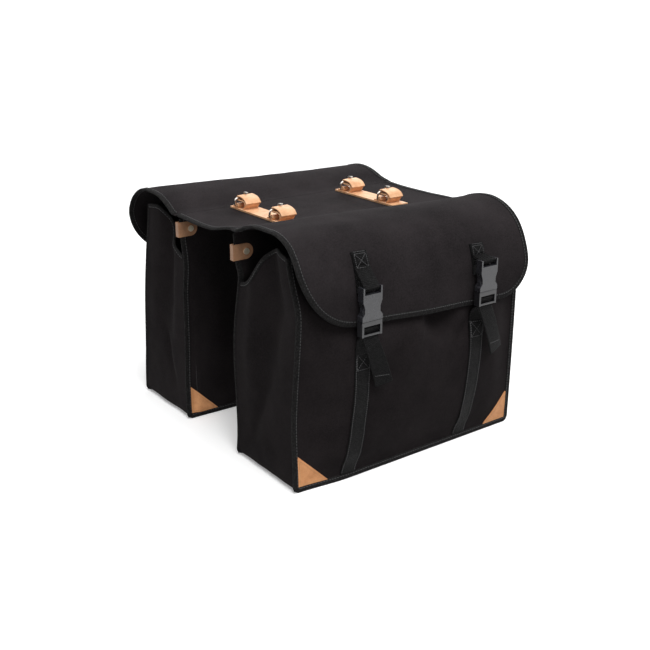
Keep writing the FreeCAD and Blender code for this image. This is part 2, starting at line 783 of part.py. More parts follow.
def build_plug(name, x, where):
    """The plug: a shoulder that meets the socket and a ladder lock with two bars."""
    body = new_body("plug")
    outline = [
        (f"{x} - socket_half", "219"),
        (f"{x} - (socket_half - plug_rail)", "219"),
        (f"{x} - (socket_half - plug_rail)", "233"),
        (f"{x} + socket_half - plug_rail", "233"),
        (f"{x} + socket_half - plug_rail", "219"),
        (f"{x} + socket_half", "219"),
        (f"{x} + socket_half", "239.2"),
        (f"{x} - socket_half", "239.2"),
    ]
    extrude(body, "Pad", "XZ_Plane", "buckle_plane - plug_depth / 2", "plug_depth", [outline])
    lock = ("-buckle_plane", "lock_bar_height", "lock_bar")
    end = ("-(buckle_plane + end_bar_out)", "lock_bar_height - end_bar_drop", "lock_bar")
    for bar in (lock, end):
        extrude(body, "Pad", "YZ_Plane", f"{x} - 14", "28", circles=[bar])
    keep(body, f"buckle_plug_{name}", where)


def build_arm(name, x, sign, letter, where):
    """A spring arm whose pad stands out of the socket's window."""
    body = new_body("arm")
    half = [
        ("8.6", "239.6"),
        ("12.2", "239.6"),
        ("12.2", "246.5"),
        ("14.4", "247"),
        ("14.4", "254"),
        ("11.8", "263"),
        ("9.4", "263"),
        ("8.6", "250"),
    ]
    outline = [(f"{x} + {sign} * {w}", z) for w, z in half]
    extrude(body, "Pad", "XZ_Plane", "buckle_plane - arm_depth / 2", "arm_depth", [outline])
    keep(body, f"release_arm_{letter}_{name}", where)


def build_webbing(name, x, where):
    """Webbing from its anchor up behind the plug, over the upper bar and down behind the end bar."""
    t = size("webbing")
    face = size("outer_face") + 1.5 * t
    plane_s = size("buckle_plane")
    height = size("lock_bar_height")
    bar = outwards(plane_s, height)
    wrap = size("lock_bar") + size("running_gap") + t / 2
    behind = bar + V(0, wrap, 0)
    top = bar + V(0, 0, wrap)
    under_bar = outwards(plane_s + 0.2, height - 9)
    leaves = touch(under_bar, bar, wrap, 1)
    up = [outwards(face, 176), outwards(face, 190), outwards(plane_s - wrap, 212), behind]
    down = [leaves, under_bar, outwards(plane_s + 2, height - 18.5), outwards(plane_s + 8.5, 147)]
    runs = path_of(up, [8.0, 14.0])
    runs += [("arc", bar, behind, top), ("arc", bar, top, leaves)]
    runs += path_of(down, [6.0, 30.0])
    keep(feature("strap", ribbon(runs, t, size("webbing_width"), x)), f"webbing_{name}", where)


def build_closures(side, where):
    """The four buckle pieces and the webbing of each closing strap; front is the riding direction."""
    for end, x in (("front", 1), ("rear", -1)):
        if side == "left":
            x = -x
        reach = f"{x} * strap_reach"
        name = f"{side}_{end}"
        build_webbing(name, x * size("strap_reach"), where)
        build_socket(name, reach, where)
        build_plug(name, reach, where)
        build_arm(name, reach, 1, "a", where)
        build_arm(name, reach, -1, "b", where)


# ---------------------------------------------------------------- assembly and export

build_bridge()
build_carrier_leather()
for side, where in (("right", RIGHT), ("left", LEFT)):
    build_panels(side, where)
    build_bindings(side, where)
    build_boards(side, where)
    build_leather(side, where)
    build_anchors(side, where)
    build_lid(side, where)
    build_closures(side, where)

doc.recompute()
bad = {"Invalid", "Error"}
faults = [f"{obj.Name} ({obj.Label}): {obj.State}" for obj in doc.Objects if bad & set(obj.State)]
broken = [obj.Label for obj in pieces if obj.Shape.isNull() or not obj.Shape.isValid()]
faults += [f"{label}: bad shape" for label in broken]
if faults:
    raise RuntimeError("\n".join(faults))

os.makedirs("parts", exist_ok=True)
for obj in pieces:
    obj.Shape.exportStep(f"parts/{obj.Label}.step")
    print(f"{obj.Label}: {len(obj.Shape.Solids)} solids, {obj.Shape.Volume:.1f} mm3")
print(len(pieces), "sub-parts")
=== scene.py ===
"""Looks of the double pannier bag: canvas shells, taped seams, webbing, leather and metal round the frame.

Metres. A bag is built in its own terms: x along the bag, s outwards from the centre plane and z up. For the
right-hand bag x is the frame's x. The left-hand bag is turned half round, with seams and creases of its own.
"""
import bpy
import math
import numpy as np
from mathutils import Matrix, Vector, noise

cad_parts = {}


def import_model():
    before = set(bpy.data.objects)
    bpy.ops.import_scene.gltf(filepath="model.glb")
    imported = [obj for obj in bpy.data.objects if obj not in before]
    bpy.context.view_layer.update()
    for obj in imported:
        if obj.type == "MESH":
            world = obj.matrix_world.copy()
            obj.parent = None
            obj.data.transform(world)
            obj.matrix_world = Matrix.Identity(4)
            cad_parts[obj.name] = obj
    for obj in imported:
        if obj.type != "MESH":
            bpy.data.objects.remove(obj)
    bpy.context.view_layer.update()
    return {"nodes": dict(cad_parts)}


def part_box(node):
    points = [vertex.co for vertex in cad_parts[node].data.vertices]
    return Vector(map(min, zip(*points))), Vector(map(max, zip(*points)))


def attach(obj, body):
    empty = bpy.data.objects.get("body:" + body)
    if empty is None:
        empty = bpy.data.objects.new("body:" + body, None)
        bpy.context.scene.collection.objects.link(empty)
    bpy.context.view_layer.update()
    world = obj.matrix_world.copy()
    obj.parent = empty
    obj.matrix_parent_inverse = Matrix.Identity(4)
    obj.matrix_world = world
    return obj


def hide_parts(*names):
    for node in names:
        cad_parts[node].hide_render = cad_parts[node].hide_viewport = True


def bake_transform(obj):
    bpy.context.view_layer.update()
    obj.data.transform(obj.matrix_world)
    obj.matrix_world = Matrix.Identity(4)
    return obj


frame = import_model()
MM = 0.001

# ---------------------------------------------------------------- sizes read from the frame


def side_box(node):
    """A right-hand node's box as (low x, low s, low z), (high x, high s, high z)."""
    low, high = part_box(node)
    return Vector((low.x, -high.y, low.z)), Vector((high.x, -low.y, high.z))


seams = side_box("right_seam_bindings")
outer = side_box("right_outer_panel")
inner = side_box("right_inner_panel")
lid_box = side_box("right_lid_binding")
bridge_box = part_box("bridge_panel")
band_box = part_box("carrier_bands")
HALF = seams[1].x  # half the length of a bag, over its tape
OUT = (outer[0].y + outer[1].y) / 2  # the outer panel's middle surface
IN = (inner[0].y + inner[1].y) / 2
OUTER_TOP = outer[1].z
FOLD_S = IN
FOLD_Z = (bridge_box[0].z + bridge_box[1].z) / 2
LID_HALF = lid_box[1].x
plug = side_box("buckle_plug_right_front")
socket = side_box("buckle_socket_right_front")
STRAP_X = (plug[0].x + plug[1].x) / 2  # from a bag's middle to a closing strap
BUCKLE_S = (plug[0].y + plug[1].y) / 2
LOOP_Z = socket[1].z - 2.5 * MM  # the socket's webbing bar
LOCK_Z = plug[1].z - 10.7 * MM  # the plug's upper webbing bar
SIDES = ("right", "left")
ENDS = (("front", 1), ("rear", -1))
ALONG_X = np.array([1.0, 0, 0])

# ---------------------------------------------------------------- sizes of the cloth and leather

CANVAS = 1.8 * MM  # thickness
TAPE = 9 * MM
TAPE_THICK = 3.8 * MM  # folded over the canvas
MOUTH_TAPE_THICK = 3.4 * MM
ON_TAPE = 1.85 * MM  # from the canvas's middle to thread that lies on its tape
SEAM_Z = 4.6 * MM  # height of the seams along the bottom
BOTTOM_Z = 2.6 * MM  # height of the gusset's bottom
BOTTOM_BEND = 10 * MM
FOOT_Z = 3 * MM  # where the panels start
WEBBING = 25 * MM
WEB_THICK = 1.6 * MM
WRAP = 2.8 * MM  # radius of webbing round the plug's bar
LOOP_WRAP = 3.2 * MM  # and round the socket's
BOX_HALF = 9.5 * MM  # half the width of a sewn box
EDGE_ROW = 10.5 * MM  # from the webbing's middle to its rows of stitches
STRAP_START = {"rear": 96 * MM, "front": 87 * MM}  # from the lid's lower edge to a strap's top
ANCHOR_TOP = 196 * MM
TAIL_END = 148 * MM  # height of a strap's free end
PATCH_LEG = 45 * MM
PATCH_CORNER = 8.6 * MM  # from a bag's edges to a patch's corner
PATCH_THICK = 1.4 * MM
PATCH_ROW = 2.6 * MM
BAND_HALF = 15 * MM
RAIL_STRAP = 26 * MM
RAIL_STRAP_THICK = 2.3 * MM
RAIL_Y = 46 * MM
RAIL_WRAP = 7.25 * MM  # radius of a strap's middle round its rail
BAND_X = abs(band_box[1].x) - BAND_HALF

# ---------------------------------------------------------------- small tools


def smooth(a, b, x):
    """0 below a, 1 above b, smooth between."""
    t = np.clip((np.asarray(x, float) - a) / (b - a), 0, 1)
    return t * t * (3 - 2 * t)


def bell(x, middle, width):
    """1 at the middle, falling away smoothly on both sides."""
    return np.exp(-(((np.asarray(x, float) - middle) / width) ** 2))


def rumple(p, scale, seed):
    """Smooth noise from -1 to 1 at an array of points."""
    flat = np.asarray(p, float).reshape(-1, 3) * scale + np.array([seed * 17.3, seed * 5.1, seed * 9.7])
    return np.array([noise.noise(Vector(q)) for q in flat]).reshape(np.shape(p)[:-1])


def world(side, x, s, z):
    """Row-frame points from a bag's own x, s and z."""
    x, s, z = np.broadcast_arrays(*(np.asarray(v, float) for v in (x, s, z)))
    turn = 1 if side == "right" else -1
    return np.stack([x * turn, -s * turn, z], -1)


def end_of(sign, side):
    """The name of a bag's end at negative or positive x."""
    return "rear" if (sign < 0) == (side == "right") else "front"


def unit(v):
    return v / np.maximum(np.linalg.norm(v, axis=-1, keepdims=True), 1e-12)


def lengths(path):
    """How far along a path each of its points is."""
    return np.concatenate([[0], np.cumsum(np.linalg.norm(np.diff(path, axis=0), axis=1))])


def link(name, data):
    obj = bpy.data.objects.new(name, data)
    bpy.context.scene.collection.objects.link(obj)
    return obj


def fasten(pieces, body):
    for obj in pieces:
        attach(obj, body)


def new_object(name, points, faces, uvs, material):
    mesh = bpy.data.meshes.new(name)
    mesh.from_pydata([tuple(p) for p in np.asarray(points, float)], [], faces)
    layer = mesh.uv_layers.new(name="UVMap")
    corner_uv = np.asarray(uvs, float)[[v for f in faces for v in f]]
    layer.data.foreach_set("uv", corner_uv.astype(np.float32).ravel())
    mesh.materials.append(material)
    mesh.shade_smooth()
    return link(name, mesh)


def cloth(name, grid, thickness, material, flip=False):
    """A sheet with thickness from a grid of points; its UV is in metres along the cloth."""
    rows, cols = grid.shape[:2]
    du = np.gradient(grid, axis=0)
    dv = np.gradient(grid, axis=1)
    normal = unit(np.cross(du, dv))
    if flip:
        normal = -normal
    along, across = lengths(grid[:, cols // 2]), lengths(grid[rows // 2])
    uv = np.stack(np.meshgrid(along, across, indexing="ij"), -1).reshape(-1, 2)
    face_side = (grid + normal * thickness / 2).reshape(-1, 3)
    back_side = (grid - normal * thickness / 2).reshape(-1, 3)
    n = rows * cols
    faces = []
    for i in range(rows - 1):
        for j in range(cols - 1):
            quad = (i * cols + j, (i + 1) * cols + j, (i + 1) * cols + j + 1, i * cols + j + 1)
            faces.append(quad[::-1] if flip else quad)
            faces.append(tuple(n + k for k in (quad if flip else quad[::-1])))
    rim = [(i, 0) for i in range(rows)] + [(rows - 1, j) for j in range(1, cols)]
    rim += [(i, cols - 1) for i in range(rows - 2, -1, -1)] + [(0, j) for j in range(cols - 2, 0, -1)]
    loop = [i * cols + j for i, j in rim]
    for a, b in zip(loop, loop[1:] + loop[:1]):
        quad = (a, n + a, n + b, b)
        faces.append(quad[::-1] if flip else quad)
    made = new_object(name, np.concatenate([face_side, back_side]), faces, np.concatenate([uv, uv]), material)
    rims = set(loop), {n + k for k in loop}
    for edge in made.data.edges:
        a, b = edge.vertices
        edge.use_edge_sharp = any(a in rim and b in rim for rim in rims)
    return made


def section(width, thick):
    """A flat strip's section with round edges: offsets across and through."""
    steps = 3
    r = min(thick / 2, width / 2) * 0.95
    points = []
    for cx, cy, start in ((1, 1, 0), (-1, 1, 90), (-1, -1, 180), (1, -1, 270)):
        for k in range(steps + 1):
            a = math.radians(start + 90 * k / steps)
            points.append((cx * (width / 2 - r) + r * math.cos(a), cy * (thick / 2 - r) + r * math.sin(a)))
    return np.array(points)


def strip(name, path, across, width, thick, material):
    """A strip that follows a path; across is the direction of its width at each point."""
    path = np.asarray(path, float)
    tangent = unit(np.gradient(path, axis=0))
    across = unit(np.broadcast_to(across, path.shape))
    across = unit(across - tangent * np.sum(across * tangent, -1, keepdims=True))
    through = np.cross(tangent, across)
    shape = section(width, thick)
    n = len(shape)
    points = path[:, None] + across[:, None] * shape[None, :, :1] + through[:, None] * shape[None, :, 1:]
    uv = np.stack([np.repeat(lengths(path), n), np.tile(shape[:, 0], len(path))], -1)
    faces = []
    for i in range(len(path) - 1):
        for j in range(n):
            k = (j + 1) % n
            faces.append((i * n + j, i * n + k, (i + 1) * n + k, (i + 1) * n + j))
    faces.append(tuple(range(n))[::-1])
    faces.append(tuple((len(path) - 1) * n + j for j in range(n)))
    return new_object(name, points.reshape(-1, 3), faces, uv, material)


def spaced(path, count):
    """Points at an even spacing along a path."""
    along = lengths(path)
    at = np.linspace(0, along[-1], count)
    return np.stack([np.interp(at, along, column) for column in path.T], -1)


def stitches(name, paths, material, pitch=4.4 * MM, length=3.0 * MM):
    """Rows of thread: one small capsule for each stitch, half sunk in the cloth."""
    points, faces = [], []
    radius = 0.5 * MM
    ring = 6
    ends = ((-0.5, 0.35), (-0.36, 0.95), (0.36, 0.95), (0.5, 0.35))
    for path in paths:
        spots = spaced(path, max(2, int(round(lengths(path)[-1] / pitch)) + 1))
        tangents = unit(np.gradient(spots, axis=0))
        for p, t in zip(spots[:-1] + np.diff(spots, axis=0) / 2, tangents[:-1]):
            helper = Vector((0, 0, 1)) if abs(t[2]) < 0.9 else Vector((1, 0, 0))
            a = Vector(t).cross(helper).normalized()
            b = Vector(t).cross(a)
            base = len(points)
            for where, size in ends:
                for k in range(ring):
                    angle = 2 * math.pi * k / ring
                    round_off = a * math.cos(angle) + b * math.sin(angle)
                    points.append(Vector(p) + Vector(t) * where * length + round_off * radius * size)
            for i in range(len(ends) - 1):
                for k in range(ring):
                    m = (k + 1) % ring
                    faces.append((base + i * ring + k, base + i * ring + m, base + (i + 1) * ring + m,
                                  base + (i + 1) * ring + k))
            faces.append(tuple(base + k for k in range(ring))[::-1])
            faces.append(tuple(base + (len(ends) - 1) * ring + k for k in range(ring)))
    uvs = [(p[0] + p[1], p[2]) for p in points]
    return new_object(name, points, faces, uvs, material)


def spline(knots, count):
    """A smooth curve through two-dimensional knots (Catmull-Rom), evenly spaced along its length."""
    knots = np.asarray(knots, float)
    ends = np.vstack([2 * knots[0] - knots[1], knots, 2 * knots[-1] - knots[-2]])
    fine = []
    for i in range(1, len(ends) - 2):
        p0, p1, p2, p3 = ends[i - 1 : i + 3]
        for t in np.linspace(0, 1, 24, endpoint=False):
            fine.append(0.5 * (2 * p1 + (p2 - p0) * t + (2 * p0 - 5 * p1 + 4 * p2 - p3) * t**2
                               + (3 * p1 - p0 - 3 * p2 + p3) * t**3))
    return spaced(np.array([*fine, ends[-2]]), count)


# ---------------------------------------------------------------- materials


def nodes_of(name):
    """A new material, its node tree, its shader and its texture coordinates."""
    material = bpy.data.materials.new(name)
    material.use_nodes = True
    tree = material.node_tree
    return material, tree, tree.nodes["Principled BSDF"], tree.nodes.new("ShaderNodeTexCoord")


def node(tree, kind, **values):
    made = tree.nodes.new(kind)
    for key, value in values.items():
        if key in made.inputs:
            made.inputs[key].default_value = value
        else:
            setattr(made, key, value)
    return made


def ramp(tree, source, low, high, start, end):
    made = tree.nodes.new("ShaderNodeValToRGB")
    for stop, place, colour in zip(made.color_ramp.elements, (start, end), (low, high)):
        stop.position = place
        stop.color = (*colour, 1)
    tree.links.new(source, made.inputs["Fac"])
    return made.outputs["Color"]


def math_node(tree, kind, a, b=None):
    made = tree.nodes.new("ShaderNodeMath")
    made.operation = kind
    for socket, value in zip(made.inputs, (a, b)):
        if isinstance(value, (int, float)):
            socket.default_value = value
        elif value is not None:
            tree.links.new(value, socket)
    return made.outputs[0]


def times(tree, a, b):
    return math_node(tree, "MULTIPLY", a, b)


def plus(tree, a, b):
    return math_node(tree, "ADD", a, b)


def sine(tree, along, pitch):
    return math_node(tree, "SINE", times(tree, along, 2 * math.pi / pitch))


def clouds(tree, coords, **values):
    """Noise in the object's own coordinates."""
    made = node(tree, "ShaderNodeTexNoise", **values)
    tree.links.new(coords.outputs["Object"], made.inputs["Vector"])
    return made.outputs["Fac"]


def cloth_axes(tree, coords):
    """How far along and how far across a piece of cloth a point is."""
    split = tree.nodes.new("ShaderNodeSeparateXYZ")
    tree.links.new(coords.outputs["UV"], split.inputs[0])
    return split.outputs[0], split.outputs[1]


def uneven(tree, shader, source, low, high):
    """Roughness between two values."""
    made = node(tree, "ShaderNodeMapRange", **{"To Min": low, "To Max": high})
    tree.links.new(source, made.inputs["Value"])
    tree.links.new(made.outputs["Result"], shader.inputs["Roughness"])


def bump(tree, shader, height, strength, distance):
    made = node(tree, "ShaderNodeBump", Strength=strength, Distance=distance)
    tree.links.new(height, made.inputs["Height"])
    tree.links.new(made.outputs["Normal"], shader.inputs["Normal"])


def surface(shader, rough, specular):
    shader.inputs["Roughness"].default_value = rough
    shader.inputs["Specular IOR Level"].default_value = specular


def glow(shader, strength):
    shader.inputs["Emission Color"].default_value = (1, 1, 1, 1)
    shader.inputs["Emission Strength"].default_value = strength


def paint(tree, shader, source, low, high, start=0.3, end=0.7):
    """Base colour from a dark and a light shade."""
    tree.links.new(ramp(tree, source, low, high, start, end), shader.inputs["Base Color"])


def woven(name, dark, light, thread, rough=0.9):
    """Cloth: threads over and under, a slow change of shade and a fine fuzz."""
    material, tree, shader, coords = nodes_of(name)
    along, across = cloth_axes(tree, coords)
    weave = times(tree, plus(tree, sine(tree, along, thread), sine(tree, across, thread)), 0.5)
    fuzz = clouds(tree, coords, Scale=480.0, Detail=5.0, Roughness=0.75)
    slow = clouds(tree, coords, Scale=14.0, Detail=4.0, Roughness=0.6)
    paint(tree, shader, plus(tree, times(tree, slow, 0.45), times(tree, fuzz, 0.55)), dark, light, 0.35, 0.65)
    bump(tree, shader, plus(tree, weave, fuzz), 0.35, 0.00025)
    surface(shader, rough, 0.06)
    return material


def ribbed(name, dark, light, rib, rough):
    """Webbing and tape: ribs along the length crossed by fine picks."""
    material, tree, shader, coords = nodes_of(name)
    along, across = cloth_axes(tree, coords)
    ribs = math_node(tree, "ABSOLUTE", sine(tree, across, rib))
    picks = sine(tree, along, rib * 1.3)
    fuzz = clouds(tree, coords, Scale=420.0, Detail=4.0, Roughness=0.7)
    height = plus(tree, plus(tree, ribs, times(tree, picks, 0.35)), times(tree, fuzz, 1.2))
    paint(tree, shader, plus(tree, fuzz, times(tree, picks, 0.07)), dark, light, 0.42, 0.68)
    bump(tree, shader, height, 0.9, 0.0007)
    surface(shader, rough, 0.08)
    return material


def tanned(name, dark, light):
    """Vegetable-tanned leather: fine pores, cloudy colour and soft scratches."""
    material, tree, shader, coords = nodes_of(name)
    cloud = clouds(tree, coords, Scale=70.0, Detail=6.0, Roughness=0.65)
    scratch = clouds(tree, coords, Scale=260.0, Detail=5.0, Distortion=1.2)
    pores = node(tree, "ShaderNodeTexVoronoi", Scale=1100.0)
    tree.links.new(coords.outputs["Object"], pores.inputs["Vector"])
    paint(tree, shader, cloud, dark, light, 0.3, 0.72)
    height = plus(tree, times(tree, pores.outputs["Distance"], 0.6), times(tree, scratch, 0.6))
    bump(tree, shader, height, 0.3, 0.0002)
    uneven(tree, shader, scratch, 0.4, 0.62)
    shader.inputs["Specular IOR Level"].default_value = 0.45
    return material


def moulded(name, dark, light, rough):
    """Moulded plastic with a faint spark texture."""
    material, tree, shader, coords = nodes_of(name)
    grain = clouds(tree, coords, Scale=1500.0, Detail=2.0)
    paint(tree, shader, clouds(tree, coords, Scale=120.0, Detail=3.0), dark, light)
    bump(tree, shader, grain, 0.25, 0.0001)
    surface(shader, rough, 0.8)
    return material


def plated(name, dark, light, rough, metallic):
    """Plated metal, a little tarnished."""
    material, tree, shader, coords = nodes_of(name)
    cloud = clouds(tree, coords, Scale=300.0, Detail=5.0)
    paint(tree, shader, cloud, dark, light)
    bump(tree, shader, cloud, 0.1, 0.0001)
    uneven(tree, shader, cloud, rough - 0.08, rough + 0.15)
    shader.inputs["Metallic"].default_value = metallic
    return material


# The lid and bridge get the canvas as it looks in light. The panels and gussets get a darker copy of the same
# canvas, whose darkness is painted shade for sides turned from the light and lying under the lid.
CANVAS_CLOTH = woven("canvas_cloth", (0.0092, 0.0077, 0.0083), (0.0275, 0.0232, 0.0246), 0.9 * MM)
CANVAS_PAINTED_SHADE = woven("canvas_painted_shade", (0.0058, 0.0046, 0.0050), (0.0190, 0.0156, 0.0164), 0.9 * MM)
TAPE_CLOTH = ribbed("binding_tape", (0.010, 0.0095, 0.0096), (0.034, 0.0325, 0.0328), 1.1 * MM, rough=0.8)
WEB_CLOTH = ribbed("webbing_weave", (0.0005, 0.0005, 0.0006), (0.013, 0.0126, 0.013), 1.9 * MM, rough=0.5)
THREAD = woven("sewing_thread", (0.07, 0.07, 0.072), (0.12, 0.12, 0.122), 0.4 * MM, rough=0.5)
TAN = tanned("tan_leather", (0.58, 0.285, 0.13), (0.88, 0.53, 0.30))
PATCH_TAN = tanned("patch_leather", (0.50, 0.205, 0.075), (0.74, 0.36, 0.155))
TAB = tanned("tab_leather", (0.34, 0.17, 0.09), (0.50, 0.27, 0.15))
TAN_THREAD = woven("tan_thread", (0.45, 0.22, 0.10), (0.62, 0.36, 0.18), 0.4 * MM, rough=0.6)
PLASTIC = moulded("buckle_plastic", (0.017, 0.017, 0.020), (0.028, 0.028, 0.033), rough=0.24)
# The plug is the same plastic as the socket; its darker colour is painted shade for its recessed, ribbed
# front.
PLUG_PAINTED_SHADE = moulded("plug_plastic_painted_shade", (0.005, 0.005, 0.006), (0.010, 0.010, 0.012), rough=0.34)
NICKEL = plated("nickel_plate", (0.62, 0.56, 0.50), (0.82, 0.77, 0.70), rough=0.25, metallic=1.0)
RIVET = plated("rivet_brass", (0.80, 0.70, 0.52), (0.95, 0.88, 0.72), rough=0.35, metallic=0.6)
BOARD = moulded("board_plastic", (0.012, 0.012, 0.012), (0.02, 0.02, 0.02), rough=0.6)

# ---------------------------------------------------------------- shape of a bag


def rear(x, seed):
    """1 at the end of a bag that points to the back of the bicycle, 0 from its middle forwards."""
    turn = 1 if seed == 1 else -1
    return smooth(0.11, 0.2, -np.asarray(x, float) * turn)


def at_knots(z, knots):
    """A smooth offset read from (height, offset) knots in millimetres."""
    return np.interp(z / MM, *spline(knots, 80).T) * MM


# Where the rear seams stray from upright, as (height, outwards) in millimetres, by the bag's seed.
OUTER_SEAM = {1: [(0, -7), (30, -9), (96, -13), (150, -10), (247, 0), (290, -6), (330, -12)],
              2: [(0, -2), (40, -5), (78, -10), (166, -19), (240, -31), (290, -38), (330, -42)]}
INNER_SEAM = {1: [(0, -7), (43, -4), (139, -9), (192, -6), (250, 4), (275, 8), (290, 3), (330, 0)],
              2: [(0, 2), (28, 5), (81, 7), (195, 4), (250, -3), (290, 0), (330, 0)]}


def edge_x(z, at_outer):
    """How far along the bag its upright edges stand, by height."""
    lean = 3.5 * MM * np.sin(math.pi * np.clip(z / OUTER_TOP, 0, 1)) + 2 * MM * smooth(0.2, 0.27, z)
    return HALF - 2.5 * MM - (0.4 * lean if at_outer else lean)


def outer_line(x, z, seed):
    """The outer panel before it swells: where its seams stand, outwards."""
    stand = OUT + 2.5 * MM * np.sin(math.pi * np.clip(z / OUTER_TOP, 0, 1)) - 7 * MM * smooth(0.24, 0.32, z)
    return stand + rear(x, seed) * at_knots(z, OUTER_SEAM[seed])


def inner_line(x, z, seed):
    """The inner panel's seams, outwards."""
    stand = IN - 2.0 * MM * np.sin(math.pi * np.clip(z / FOLD_Z, 0, 1)) ** 2
    return stand + rear(x, seed) * at_knots(z, INNER_SEAM[seed])


def top_z(x, seed):
    """Height of the outer panel's top edge: the mouth stands higher at the rear."""
    return OUTER_TOP - 5 * MM + 16 * MM * rear(x, seed)


def free_of_seams(x, z):
    """0 at a panel's upright and bottom seams, 1 well away from them."""
    return smooth(0, 60 * MM, HALF - np.abs(x)) * smooth(0, 45 * MM, z)


def outer_face(x, z, seed):
    """The outer panel: full in its lower half, drawn in below the lid between the straps."""
    free = free_of_seams(x, z) * smooth(0, 25 * MM, OUTER_TOP - z)
    swell = 22 * MM * np.sin(math.pi * np.clip(z / OUTER_TOP, 0, 1)) ** 0.8 * (1 - (x / HALF) ** 4) ** 0.9
    swell = swell * (1 - 0.6 * smooth(0.19, 0.25, z))
    turn = 1 if seed == 1 else -0.8

    def slanting(depth, slope, pivot, middle, width, height, reach):
        """A hollow whose middle line leans by slope about the pivot's height."""
        line = bell(x + (z - pivot * MM) * slope * turn, middle * MM * turn, width * MM)
        return depth * MM * line * bell(z, height * MM, reach * MM)

    hollow = slanting(27, 0.3, 205, 38, 27, 208, 36)
    folds = slanting(7, -0.5, 190, 86, 11, 178, 42) - slanting(5, -0.4, 200, -6, 9, 190, 45)
    point = np.stack(np.broadcast_arrays(x, 0 * x + seed, z), -1)
    crease = 3.0 * MM * rumple(point, 11, seed) + 1.5 * MM * rumple(point, 29, seed + 3)
    return outer_line(x, z, seed) + free * (swell - hollow - folds + crease)


def inner_face(x, z, seed):
    """The inner panel: nearly flat, and never inside the board behind it."""
    free = free_of_seams(x, z) * smooth(0, 20 * MM, FOLD_Z - z)
    point = np.stack(np.broadcast_arrays(x, 0 * x - seed, z), -1)
    shelf = 2.2 * MM * bell(z + 0.04 * x, 118 * MM, 7 * MM)
    shape = 1.5 * MM * rumple(point, 9, seed + 8) + 0.7 * MM * rumple(point, 33, seed) + shelf
    behind_board = 1 - smooth(HALF - 24 * MM, HALF - 14 * MM, np.abs(x))
    face = inner_line(x, z, seed) + free * shape
    return face - np.maximum(face - IN, 0) * behind_board * (1 - smooth(0.256, 0.27, z))


def mouth_z(share, sign, seed):
    """Height of the mouth's edge over an end of the bag, from the inner panel (0) to the outer (1)."""
    top = top_z(sign * HALF, seed) / MM
    rise = top - 309
    brim = 311 + rise
    knots = [(0, 264), (0.12, 268), (0.3, 284), (0.5, 303 + rise * 0.6), (0.7, brim), (0.86, brim), (1, top)]
    return np.interp(share, *spline(knots, 60).T) * MM


def end_s(share, sign, z, seed):
    """How far outwards a place on an end wall is; its share counts from the inner to the outer seam."""
    near = inner_line(sign * HALF, z, seed)
    return near + (outer_line(sign * HALF, z, seed) - near) * share


def gusset_wall(share, z, sign, seed):
    """How far along the bag an end wall stands: drawn in by a soft upright fold."""
    edge = edge_x(z, False) * (1 - share) + edge_x(z, True) * share
    free = np.sin(math.pi * np.clip(share, 0, 1)) ** 0.7
    depth = smooth(0.02, 0.25, z)
    lean = 0.50 + 0.14 * smooth(0.1, 0.28, z) * (1 if sign < 0 else -0.6)
    fold = 13 * MM * bell(share, lean, 0.2) * depth
    ridge = 4 * MM * bell(share, 0.24, 0.1) * depth
    slant = 3.5 * MM * bell(share * 0.17 - 0.55 * (z - 0.05), 0.05, 0.012) * bell(z, 0.09, 0.05)
    point = np.stack(np.broadcast_arrays(0 * share + seed + sign, share * 0.14, z), -1)
    crease = 2.6 * MM * rumple(point, 15, seed) + 1.2 * MM * rumple(point, 40, seed + 5)
    return edge - free * (fold - ridge + slant - crease)


def fold_lift(x, s, seed):
    """The right fold's rear corner stands up a little, pulled by the roll of its lid."""
    if seed != 1:
        return 0 * x * s
    return 11 * MM * smooth(0.12, 0.2, -x) * bell(s, FOLD_S, np.where(s < FOLD_S, 42 * MM, 22 * MM))


def round_corner(end, reach, stand, low, bend):
    """The quarter turn from an upright edge, reach from the bag's middle, to the bottom at height low."""
    angle = np.linspace(0, math.pi / 2, 7)[1:]
    x = end * (reach - bend * (1 - np.cos(angle)))
    return np.stack([x, 0 * angle + stand, low + bend * (1 - np.sin(angle))], -1)


def build_panels(side, seed):
    u = np.linspace(-1, 1, 110)
    V, U = np.meshgrid(np.linspace(0, 1, 90), u, indexing="ij")
    Z = FOOT_Z + V * (top_z(U * HALF, seed) - FOOT_Z)
    X = U * edge_x(Z, True)
    points = world(side, X, outer_face(X, Z, seed), Z)
    outer_panel = cloth(f"{side}_outer_canvas", points, CANVAS, CANVAS_PAINTED_SHADE)
    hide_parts(f"{side}_outer_panel")
    Z, U = np.meshgrid(np.linspace(FOOT_Z, FOLD_Z - 0.4 * MM, 90), u, indexing="ij")
    X = U * edge_x(Z, False)
    raised = Z + fold_lift(X, FOLD_S + 0 * X, seed) * smooth(FOLD_Z - 40 * MM, FOLD_Z, Z)
    points = world(side, X, inner_face(X, Z, seed), raised)
    inner_panel = cloth(f"{side}_inner_canvas", points, CANVAS, CANVAS_PAINTED_SHADE, flip=True)
    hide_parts(f"{side}_inner_panel")
    return [outer_panel, inner_panel]


